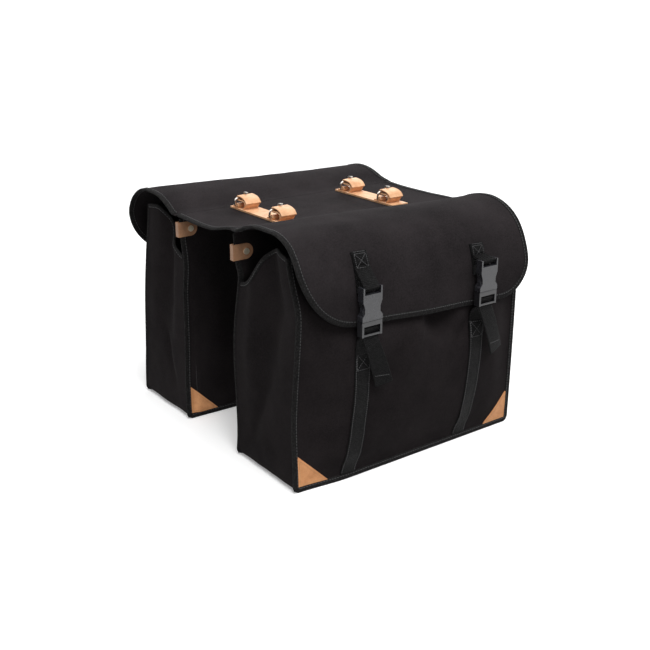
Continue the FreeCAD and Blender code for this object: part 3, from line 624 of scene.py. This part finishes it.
def build_gusset(side, seed):
    """One strip of canvas: end wall, bottom, end wall."""
    columns = []
    for share in np.linspace(0, 1, 44):
        walls = []
        for sign in (-1, 1):
            top = mouth_z(share, sign, seed)
            height = top + (BOTTOM_BEND + BOTTOM_Z - top) * np.linspace(0, 1, 56)
            sway = end_s(share, sign, height, seed)
            wall = gusset_wall(share, height, sign, seed)
            down = np.stack([sign * wall, sway, height], -1)
            turn = round_corner(sign, wall[-1], sway[-1], BOTTOM_Z, BOTTOM_BEND)
            walls.append(np.concatenate([down, turn]))
        first, last = walls[0][-1], walls[1][-1]
        run = np.linspace(0, 1, 50)[1:-1, None]
        bottom = first * (1 - run) + last * run
        bottom[:, 2] += np.abs(0.8 * MM * rumple(bottom, 14, seed))
        columns.append(np.concatenate([walls[0], bottom, walls[1][::-1]]))
    grid = world(side, *np.moveaxis(np.stack(columns, 1), -1, 0))
    gusset = cloth(f"{side}_gusset_canvas", grid, CANVAS, CANVAS_PAINTED_SHADE, flip=True)
    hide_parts(f"{side}_gusset")
    return [gusset]


def build_seams(side, seed):
    """Tape on the outer and the inner seam, each with its row of stitches."""
    made = []
    for which, line, at_outer in (("outer", outer_line, True), ("inner", inner_line, False)):
        sign = 1 if at_outer else -1
        sides = []
        for end in (-1, 1):
            top = FOLD_Z - 6 * MM + fold_lift(end * HALF, FOLD_S, seed)
            if at_outer:
                top = top_z(end * HALF, seed)
            up = np.linspace(top, BOTTOM_BEND, 70)
            reach = edge_x(up, at_outer) - 2.2 * MM
            down = np.stack([end * reach, line(end * HALF, up, seed), up], -1)
            turn = round_corner(end, reach[-1], down[-1][1], SEAM_Z, BOTTOM_BEND - SEAM_Z)
            sides.append(np.concatenate([down, turn[:-1]]))
        run = np.linspace(-HALF + 8 * MM, HALF - 8 * MM, 60)
        bottom = np.stack([run, line(run, 0 * run + SEAM_Z, seed), 0 * run + SEAM_Z], -1)
        path = np.concatenate([sides[0], bottom, sides[1][::-1]])
        path[:, 1] += sign * 0.9 * MM
        points = world(side, *path.T)
        tangent = unit(np.gradient(points, axis=0))
        outward = world(side, 0, sign, 0)
        across = unit(np.cross(tangent, np.broadcast_to(outward, tangent.shape)))
        tape = strip(f"{side}_{which}_seam_tape", points, across, TAPE, TAPE_THICK, TAPE_CLOTH)
        if at_outer:
            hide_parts(f"{side}_seam_bindings")
        toward = np.sign(np.sum(across * (np.array([0, 0, 0.17]) - points), -1, keepdims=True))
        thread = points + across * toward * 2.2 * MM + outward * ON_TAPE
        made += [tape, stitches(f"{side}_{which}_seam_stitches", [thread], THREAD)]
    return made


def build_mouth(side, seed):
    """Tape over both ends' upper edges and along the outer panel's top."""
    tapes, threads = [], []
    under_edge = np.array([0, 0, -1.5 * MM])
    for sign in (-1, 1):
        share = np.linspace(0.03, 0.995, 50)
        height = mouth_z(share, sign, seed)
        s = end_s(share, sign, height, seed)
        path = world(side, sign * gusset_wall(share, height, sign, seed), s, height - 2.2 * MM)
        normal = world(side, sign, 0, 0)
        across = np.cross(unit(np.gradient(path, axis=0)), np.broadcast_to(normal, path.shape))
        name = f"{side}_mouth_tape_{end_of(sign, side)}"
        tapes.append(strip(name, path, across, 6.5 * MM, MOUTH_TAPE_THICK, TAPE_CLOTH))
        threads.append(path + normal * MOUTH_TAPE_THICK / 2 + under_edge)
    x = np.linspace(-1, 1, 60) * (edge_x(OUTER_TOP, True) - 2 * MM)
    height = top_z(x, seed)
    path = world(side, x, outer_face(x, height, seed), height - 2.5 * MM)
    upright = np.array([0, 0, 1.0])
    tapes.append(strip(f"{side}_mouth_tape_outer", path, upright, 7 * MM, MOUTH_TAPE_THICK, TAPE_CLOTH))
    threads.append(path + world(side, 0, 1.75 * MM, 0) + under_edge)
    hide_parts(f"{side}_mouth_binding")
    return [*tapes, stitches(f"{side}_mouth_stitches", threads, THREAD)]


def build_patches(side, seed):
    """Leather triangles over the lower corners, each with a row of stitches round it."""
    patches, rows = [], []
    corner_x = HALF - PATCH_CORNER
    for which, face, sign in (("outer", outer_face, 1), ("inner", inner_face, -1)):
        for end in (-1, 1):

            def on_face(along, up, lift):
                x, z = end * (corner_x - along), PATCH_CORNER + up
                return world(side, x, face(x, z, seed) + sign * (CANVAS / 2 + lift), z)

            steps = np.linspace(0, 1, 15)
            u, v = np.meshgrid(steps, steps, indexing="ij")
            grid = on_face(u * PATCH_LEG * (1 - v), v * PATCH_LEG + 0 * u, PATCH_THICK / 2)
            name = f"{side}_patch_{which}_{end_of(end, side)}"
            patches.append(cloth(name, grid, PATCH_THICK, PATCH_TAN, flip=end * sign > 0))
            near, far = PATCH_ROW, PATCH_LEG - 2.4 * PATCH_ROW
            line = [(near, near), (far, near), (near, far), (near, near)]
            fine = np.concatenate([np.linspace(a, b, 24) for a, b in zip(line, line[1:])])
            rows.append(on_face(fine[:, 0], fine[:, 1], PATCH_THICK + 0.1 * MM))
    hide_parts(f"{side}_corner_patches")
    return [*patches, stitches(f"{side}_patch_stitches", rows, TAN_THREAD, pitch=3.2 * MM, length=2.2 * MM)]


def build_bag(side, seed):
    body = f"bag_{side}"
    fasten(build_panels(side, seed) + build_gusset(side, seed), body)
    fasten(build_seams(side, seed) + build_mouth(side, seed), body)
    fasten(build_patches(side, seed), body)


# ---------------------------------------------------------------- lid and bridge

FOLD = (FOLD_S / MM, 326.2)
# The lid's section as (outwards, height) in millimetres, at a bag's rear end and at its front end, by seed.
LID_KNOTS = {
    1: ([FOLD, (88, 329.5), (99, 338), (113, 347), (132, 352), (158, 353.5), (185, 352), (209, 341),
         (226, 319), (235, 289), (238.5, 258), (239.5, 231)],
        [FOLD, (88, 327.5), (102, 332), (120, 339), (142, 343), (163, 342.5), (185, 336.5), (205, 324.5),
         (221, 305), (232, 277), (236, 248), (237, 214)]),
    2: ([FOLD, (87, 328), (98, 334), (109, 340), (130, 347), (155, 348.5), (176, 347), (196, 339.5),
         (215, 324.5), (228, 302), (235, 275), (238, 250), (239, 224)],
        [FOLD, (87, 327.5), (102, 331), (122, 338), (145, 342), (168, 341), (190, 335), (208, 323.5),
         (223, 304), (233, 277), (237.5, 250), (238, 218)]),
}
LID_SHARES = np.linspace(0, 1, 160)
LID_CURVES = {seed: [spline(np.array(knots) * MM, 160) for knots in pair] for seed, pair in LID_KNOTS.items()}
LID_LONG = float(np.mean([lengths(curve)[-1] for pair in LID_CURVES.values() for curve in pair]))
LID_CORNERS = {"rear": 92 * MM, "front": 54 * MM}  # radii of the lid's lower corners


def corner_of(sign, seed):
    """The radius of the lid's lower corner at one end of a bag."""
    return LID_CORNERS["rear" if (sign < 0) == (seed == 1) else "front"]


def lid_half(t, sign, seed):
    """Half the lid's length at a distance t down its cloth, round at the lower corner."""
    r = corner_of(sign, seed)
    low = np.clip(t - (LID_LONG - r), 0, r)
    return LID_HALF - r + np.sqrt(np.maximum(r**2 - low**2, 0))


def lid_section(share, x, seed):
    """The lid's section at a place along the bag: high at the rear end and lower at the front."""
    turn = 1 if seed == 1 else -1
    front = smooth(-0.19, 0.19, x * turn)
    high, low = ([np.interp(share, LID_SHARES, column) for column in curve.T] for curve in LID_CURVES[seed])
    return [a * (1 - front) + b * front for a, b in zip(high, low)]


def lid_point(side, x, t, seed, lift=0.0):
    """A point of the lid's middle surface, or one lifted off it."""
    x, t = np.broadcast_arrays(np.asarray(x, float), np.asarray(t, float))
    share = t / LID_LONG
    s, z = lid_section(share, x, seed)
    step = 0.004
    after, before = lid_section(share + step, x, seed), lid_section(share - step, x, seed)
    ds, dz = after[0] - before[0], after[1] - before[1]
    length = np.hypot(ds, dz)
    ns, nz = -dz / length, ds / length
    free = smooth(0.04, 0.35, share)
    strap = bell(np.abs(x), STRAP_X, 20 * MM)
    point = np.stack(np.broadcast_arrays(x, t, 0 * x + seed), -1)
    wave = 1.8 * MM * rumple(point, 7.5, seed) + 0.8 * MM * rumple(point, 24, seed + 2)
    drop = smooth(0.6, 1.0, share)
    flare = 2.5 * MM * drop * np.cos(x / STRAP_X * math.pi)
    off = lift + free * (1 - 0.85 * strap * drop) * wave + flare * (1 - strap)
    return world(side, x, s + ns * off, z + nz * off + fold_lift(x, s, seed))


def lid_outline(inset, seed):
    """x and t along the lid's free edge: down one end, round, along the bottom and up the other end."""
    half = LID_HALF - inset
    low = LID_LONG - inset
    xs, ts = [], []
    for sign in (-1, 1):
        r = corner_of(sign, seed) - inset
        down = np.linspace(6 * MM, low - r, 50)
        angle = np.linspace(0, math.pi / 2, 26)[1:]
        x = sign * np.concatenate([0 * down + half, half - r * (1 - np.cos(angle))])
        t = np.concatenate([down, low - r + r * np.sin(angle)])
        xs.append(x if sign < 0 else x[::-1])
        ts.append(t if sign < 0 else t[::-1])
    run = np.linspace(xs[0][-1], xs[1][0], 52)[1:-1]
    return np.concatenate([xs[0], run, xs[1]]), np.concatenate([ts[0], 0 * run + low, ts[1]])


def build_lid(side, seed):
    bend = max(LID_CORNERS.values())
    t = np.concatenate([np.linspace(0, LID_LONG - bend, 84)[:-1],
                        LID_LONG - bend + bend * np.sin(np.linspace(0, math.pi / 2, 48))])
    u = np.linspace(-1, 1, 121)
    T, U = np.meshgrid(t, u, indexing="ij")
    X = np.where(U < 0, U * lid_half(T, -1, seed), U * lid_half(T, 1, seed))
    canvas = cloth(f"{side}_lid_canvas", lid_point(side, X, T, seed), CANVAS, CANVAS_CLOTH, flip=True)
    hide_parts(f"{side}_lid_panel")
    x, t = lid_outline(3.6 * MM, seed)
    path = lid_point(side, x, t, seed)
    normal = unit(lid_point(side, x, t, seed, lift=1 * MM) - path)
    across = np.cross(unit(np.gradient(path, axis=0)), normal)
    tape = strip(f"{side}_lid_tape", path, across, TAPE, TAPE_THICK, TAPE_CLOTH)
    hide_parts(f"{side}_lid_binding")
    x, t = lid_outline(6.2 * MM, seed)
    rows = [lid_point(side, x, t, seed, lift=face * ON_TAPE) for face in (1, -1)]
    thread = stitches(f"{side}_lid_stitches", rows, THREAD)
    # The cloth, its tape and its stitches get their places baked into their meshes.
    for obj, slot in ((canvas, "canvas"), (tape, "tape"), (thread, "tape")):
        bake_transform(obj)


def bridge_z(x, y):
    """The bridge sags a little between the leather bands and lifts at its free edges."""
    near_band = bell(np.abs(x), BAND_X, 22 * MM)
    point = np.stack(np.broadcast_arrays(x, y, 0 * x + 3.3), -1)
    ripple = 0.9 * MM * rumple(point, 16, 4) - 1.2 * MM * (1 - (y / FOLD_S) ** 2)
    return FOLD_Z + (1 - near_band) * ripple * (1 - (np.abs(y) / FOLD_S) ** 4) + fold_lift(x, -y, 1)


def build_bridge():
    for side in SIDES:
        sign = -1 if side == "right" else 1
        half = HALF - 1.0 * MM
        x = np.linspace(-half, half, 121)
        y = np.linspace(0, sign * (FOLD_S + 0.5 * MM), 40)
        X, Y = np.meshgrid(x, y, indexing="ij")
        grid = np.stack([X, Y, bridge_z(X, Y)], -1)
        canvas = cloth(f"bridge_canvas_{side}", grid, CANVAS, CANVAS_CLOTH, flip=sign < 0)
        tapes, rows = [], []
        for end, sx in ENDS:
            x = np.full_like(y, sx * (half - 3.2 * MM))
            path = np.stack([x, y, bridge_z(x, y)], -1)
            tapes.append(strip(f"bridge_tape_{end}_{side}", path, ALONG_X, TAPE, TAPE_THICK, TAPE_CLOTH))
            x = np.full_like(y, sx * (half - 6.0 * MM))
            rows.append(np.stack([x, y, bridge_z(x, y) + ON_TAPE], -1))
        thread = stitches(f"bridge_stitches_{side}", rows, THREAD)
        for obj, slot in ((canvas, "canvas"), (tapes[0], "tape"), (tapes[1], "tape"), (thread, "tape")):
            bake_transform(obj)
        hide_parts("bridge_panel")
        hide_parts("bridge_bindings")


# ---------------------------------------------------------------- webbing


def straps_of(side):
    """The end, the name and the place along the bag of the two closing straps."""
    for end, sign in ENDS:
        yield end, f"{side}_{end}", sign * STRAP_X if side == "right" else -sign * STRAP_X


def webbing(name, path, across):
    return strip(name, path, across, WEBBING, WEB_THICK, WEB_CLOTH)


def arc(centre, radius, start, end, count):
    """Points (s, z) on an arc; angles in degrees from outwards, upwards positive."""
    a = np.radians(np.linspace(start, end, count))
    return np.stack([centre[0] + radius * np.cos(a), centre[1] + radius * np.sin(a)], -1)


def box_stitch(face, x, low, high, half):
    """A sewn square with its diagonals: paths from a function that places x and height on a face."""
    a, b, c, d = (x - half, low), (x + half, low), (x + half, high), (x - half, high)
    paths = []
    for run in ([a, b, c, d, a, c], [d, b]):
        fine = np.concatenate([np.linspace(p, q, 8) for p, q in zip(run, run[1:])])
        paths.append(face(fine[:, 0], fine[:, 1]))
    return paths


def lid_strap(side, end, name, x, seed):
    """Webbing sewn down the lid; its second layer comes forward, round the socket's bar and back."""
    top = LID_LONG - STRAP_START[end]
    t = np.linspace(top, LID_LONG - 44 * MM, 40)
    base = lid_point("right", np.full_like(t, x), t, seed, lift=(CANVAS + WEB_THICK) / 2)
    sewn = base[:, 1:] * (-1, 1)  # outwards and height, which both sides share
    pad = webbing(f"lid_strap_pad_{name}", world(side, x, *sewn.T), world(side, 1, 0, 0))
    above = sewn[:18] + np.array([WEB_THICK, 0.4 * MM])
    bar = (BUCKLE_S, LOOP_Z)
    behind = sewn[26] + np.array([1.7 * MM, 0])
    under = [*arc(bar, LOOP_WRAP, 35, -90, 6), *arc(bar, LOOP_WRAP, -110, -190, 4)]
    loop = spline([*above[::3], *under, behind], 130)
    over = webbing(f"lid_strap_{name}", world(side, x, *loop.T), world(side, 1, 0, 0))
    fasten((over, pad), f"lid_{side}")

    def on_lid(along, t):
        return lid_point(side, along, t, seed, lift=CANVAS / 2 + 2 * WEB_THICK + 0.3 * MM)

    rows = box_stitch(on_lid, x, top + 4 * MM, top + 21 * MM, BOX_HALF)
    straight = np.linspace(x - BOX_HALF, x + BOX_HALF, 9)
    rows += [on_lid(straight, np.full(9, top + k * MM)) for k in (1.5, 24, 27)]
    return over, rows


def lie(x, z, seed):
    """How webbing lies on the outer panel: its distance outwards and its slope across."""
    reach = 9 * MM
    low, high = outer_face(x - reach, z, seed), outer_face(x + reach, z, seed)
    return np.maximum((low + high) / 2, outer_face(x, z, seed)), (high - low) / (2 * reach)


def adjusting_strap(side, name, x, seed):
    """Webbing from its anchor up behind the plug and over the plug's upper bar."""
    lean = anchor_x(x, ANCHOR_TOP, seed) - x
    face, slope = lie(x + lean, ANCHOR_TOP, seed)
    face = float(face) + 2.6 * MM
    leg = spline([(face, ANCHOR_TOP - 16 * MM), (face + 0.4 * MM, ANCHOR_TOP - 2 * MM),
                  (max(BUCKLE_S - 10 * MM, face + 0.6 * MM), ANCHOR_TOP + 13.5 * MM),
                  (BUCKLE_S - WRAP - 0.2 * MM, LOCK_Z - 9 * MM),
                  *arc((BUCKLE_S, LOCK_Z), WRAP, 180, 90, 6)], 70)
    low = smooth(LOCK_Z - 8 * MM, ANCHOR_TOP, leg[:, 1])
    across = world(side, 1, slope * low, 0)
    made = webbing(f"adjusting_webbing_{name}", world(side, x + lean * low, *leg.T), across)
    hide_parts(f"webbing_{name}")
    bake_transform(made)


def strap_tail(side, end, name, x):
    """The webbing's tail: over the upper bar, down behind the end bar and free, turned as it hangs."""
    tail = spline([*arc((BUCKLE_S, LOCK_Z), WRAP, 90, -12, 7), (BUCKLE_S + 0.5 * MM, LOCK_Z - 7.5 * MM),
                   (BUCKLE_S + 0.3 * MM, LOCK_Z - 10 * MM), (BUCKLE_S + 3 * MM, LOCK_Z - 20 * MM),
                   (BUCKLE_S + 6 * MM, 190 * MM), (BUCKLE_S + 7.5 * MM, 167 * MM),
                   (BUCKLE_S + 7 * MM, TAIL_END)], 90)
    turn = 1 if side == "right" else -1
    below = np.clip((LOCK_Z - 14 * MM - tail[:, 1]) / (75 * MM), 0, 1)
    points = world(side, x + turn * 23 * MM * below**1.1, *tail.T)
    twist = math.radians(12 if end == "front" else -22) * below**1.2
    across = np.stack([np.cos(twist), turn * np.sin(twist), 0 * twist], -1)
    made = webbing(f"strap_tail_{name}", points, across)
    normal = np.cross(across, unit(np.gradient(points, axis=0)))
    normal *= np.sign(np.sum(normal * world(side, 0, 1, 0), -1, keepdims=True))
    hem = webbing(f"strap_hem_{name}", points[-16:] - normal[-16:] * WEB_THICK, across[-16:])
    seam = points[-15] + normal[-15] * (WEB_THICK / 2 + 0.1 * MM)
    row = np.stack([seam + across[-15] * k for k in np.linspace(-EDGE_ROW, EDGE_ROW, 8)])
    thread = stitches(f"strap_hem_stitches_{name}", [row], THREAD, pitch=2.6 * MM, length=1.9 * MM)
    fasten((made, hem, thread), f"plug_{name}")


def anchor_x(x, z, seed):
    """The anchors lean forwards a little on their way up."""
    turn = 1 if seed == 1 else -1
    return x + turn * (-11 * MM + 8 * MM * np.clip(z / ANCHOR_TOP, 0, 1))


def build_webbing(side, seed):
    lid_rows, straps, anchors, anchor_rows = [], [], [], []
    for end, name, x in straps_of(side):
        over, rows = lid_strap(side, end, name, x, seed)
        straps.append(over)
        lid_rows += rows
        adjusting_strap(side, name, x, seed)
        strap_tail(side, end, name, x)
        z = np.linspace(10 * MM, ANCHOR_TOP, 80)
        along = anchor_x(x, z, seed)
        s, slope = lie(along, z, seed)
        path = world(side, along, s + (CANVAS + WEB_THICK) / 2 + 0.2 * MM, z)
        anchors.append(webbing(f"anchor_webbing_{name}", path, world(side, 1, slope, 0)))

        def on_panel(u, height):
            middle = anchor_x(x, height, seed)
            s, slope = lie(middle, height, seed)
            return world(side, middle + u, s + slope * u + CANVAS / 2 + WEB_THICK + 0.3 * MM, height)

        for edge in (-1, 1):
            line = np.linspace(12 * MM, ANCHOR_TOP - 3 * MM, 60)
            anchor_rows.append(on_panel(np.full_like(line, edge * EDGE_ROW), line))
        anchor_rows += box_stitch(on_panel, 0, ANCHOR_TOP - 27 * MM, ANCHOR_TOP - 5 * MM, BOX_HALF)
    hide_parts(f"{side}_lid_straps")
    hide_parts(f"{side}_strap_anchors")
    thread = stitches(f"{side}_lid_strap_stitches", lid_rows, THREAD, pitch=2.6 * MM, length=1.9 * MM)
    fasten([thread], f"lid_{side}")
    thread = stitches(f"{side}_anchor_stitches", anchor_rows, THREAD, pitch=3.2 * MM, length=2.2 * MM)
    fasten((*anchors, thread), f"bag_{side}")


# ---------------------------------------------------------------- leather and metal


def dress(name, material, bevel, segments=3):
    """A piece of the frame keeps its shape and gets a material and softened edges."""
    obj = frame["nodes"][name]
    obj.data.materials.clear()
    obj.data.materials.append(material)
    modifier = obj.modifiers.new("soft_edges", "BEVEL")
    modifier.width = bevel
    modifier.segments = segments
    modifier.limit_method = "ANGLE"
    modifier.angle_limit = math.radians(35)


def rail_strap(name, rail_y, x):
    """A carrier strap: round the rail, up through its slot, over the buckle's bar and back on its arch."""
    low, top = band_box[0].z / MM, band_box[1].z / MM
    wrap = RAIL_WRAP / MM
    loop = [(wrap, low + 0.5), (wrap, low - 5), *arc((0, low - 9.8), wrap, 0, -180, 12),
            (-wrap, low - 4), (-wrap, top)]
    arch = [(-8.8, top + 3), (-11.6, top + 6.6), (-10.2, top + 10.4), (-4.6, top + 11.9), (1.5, top + 11.7)]
    lap = [*arc((6, top + 14.6), 3.05, -80, 100, 9),
           (0.2, top + 17.3), (-6.4, top + 16.2), (-12.2, top + 13.4), (-16.2, top + 8.8)]
    y, z = spline([*loop, *arch, *lap], 220).T * MM
    return strip(name, np.stack([0 * y + x, rail_y + y, z], -1), ALONG_X, RAIL_STRAP, RAIL_STRAP_THICK, TAN)


def build_rail_straps():
    for end, sx in ENDS:
        made = [rail_strap(f"{end}_{side}_rail_strap", y, sx * BAND_X)
                for side, y in zip(SIDES, (-RAIL_Y, RAIL_Y))]
        fasten(made, "saddle")
        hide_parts(f"{end}_rail_straps")


# How each kind of frame piece starts or ends its name, its material and its softened edge.
DRESSED = (("buckle_socket", PLASTIC, 0.9), ("buckle_plug", PLUG_PAINTED_SHADE, 0.9), ("release_arm", PLASTIC, 0.6),
           ("prong", NICKEL, 0.3), ("carrier_buckle_frames", NICKEL, 0.3), ("carrier_bands", TAN, 0.5),
           ("buckle_chapes", TAN, 0.5), ("corner_tabs", TAB, 0.5), ("board", BOARD, 1.0))


def dress_frame():
    for name in frame["nodes"]:
        if name.endswith("tab_rivets"):
            dress(name, RIVET, 1.1 * MM, segments=4)
        for part, material, bevel in DRESSED:
            if name.startswith(part) or name.endswith(part):
                dress(name, material, bevel * MM)


# ---------------------------------------------------------------- stage


def build_floor():
    mesh = bpy.data.meshes.new("floor")
    mesh.from_pydata([(-30, -30, 0), (30, -30, 0), (30, 30, 0), (-30, 30, 0)], [], [(0, 1, 2, 3)])
    material, tree, shader, coords = nodes_of("floor_paint")
    cloud = clouds(tree, coords, Scale=2.0, Detail=3.0)
    paint(tree, shader, cloud, (0.86, 0.86, 0.86), (0.89, 0.89, 0.89))
    surface(shader, 0.9, 0.1)
    glow(shader, 0.25)
    mesh.materials.append(material)
    floor = link("floor", mesh)
    floor.visible_diffuse = False


def build_backdrop():
    """A closed drum of white paper, seen only where a low view looks past the floor."""
    sides, radius, height = 32, 20, 18
    turns = np.linspace(0, 2 * math.pi, sides, endpoint=False)
    ring = [(radius * math.cos(a), radius * math.sin(a)) for a in turns]
    walls = [(i, (i + 1) % sides, sides + (i + 1) % sides, sides + i) for i in range(sides)]
    mesh = bpy.data.meshes.new("backdrop")
    mesh.from_pydata([(x, y, z) for z in (-1, height) for x, y in ring], [],
                     [*walls, tuple(range(sides, 2 * sides))])
    material, _, shader, _ = nodes_of("backdrop_paper")
    shader.inputs["Base Color"].default_value = (0.9, 0.9, 0.9, 1)
    glow(shader, 0.93)
    mesh.materials.append(material)
    backdrop = link("backdrop", mesh)
    backdrop.visible_diffuse = False
    backdrop.visible_shadow = False


def build_lights():
    """Even light from the world, a wide soft sun, and two square panels for the glints."""
    studio = bpy.data.worlds.new("studio")
    studio.use_nodes = True
    background = studio.node_tree.nodes["Background"]
    background.inputs["Color"].default_value = (1, 1, 1, 1)
    background.inputs["Strength"].default_value = 0.25
    bpy.context.scene.world = studio
    bpy.context.scene.view_settings.view_transform = "Standard"
    sun = bpy.data.lights.new("softbox", "SUN")
    sun.energy = 3.2
    sun.angle = math.radians(40)
    link("softbox", sun).rotation_euler = Vector((0.10, 0.48, -1)).to_track_quat("-Z", "Y").to_euler()
    aim = Vector((0, 0, 0.18))
    panels = (("strip", (-0.75, -1.7, 0.75), 0.35, 4.0), ("rim", (0.9, 0.9, 1.3), 0.7, 6.0))
    for name, place, size, power in panels:
        light = bpy.data.lights.new(name, "AREA")
        light.shape = "SQUARE"
        light.size = size
        light.energy = power
        lamp = link(name, light)
        lamp.location = place
        lamp.rotation_euler = (aim - Vector(place)).to_track_quat("-Z", "Y").to_euler()


def build_camera():
    """The camera stands in front of the right bag's rear end and looks a little down."""
    data = bpy.data.cameras.new("camera")
    data.sensor_width = 36
    data.lens = 54.4
    camera = link("camera", data)
    camera.location = (-0.8545, -1.1684, 0.6634)
    camera.rotation_euler = (math.radians(70), 0, math.radians(-36.5))
    bpy.context.scene.camera = camera


build_camera()
build_bridge()
for side, seed in (("right", 1), ("left", 2)):
    build_bag(side, seed)
    build_lid(side, seed)
    build_webbing(side, seed)
build_rail_straps()
dress_frame()
build_floor()
build_backdrop()
build_lights()
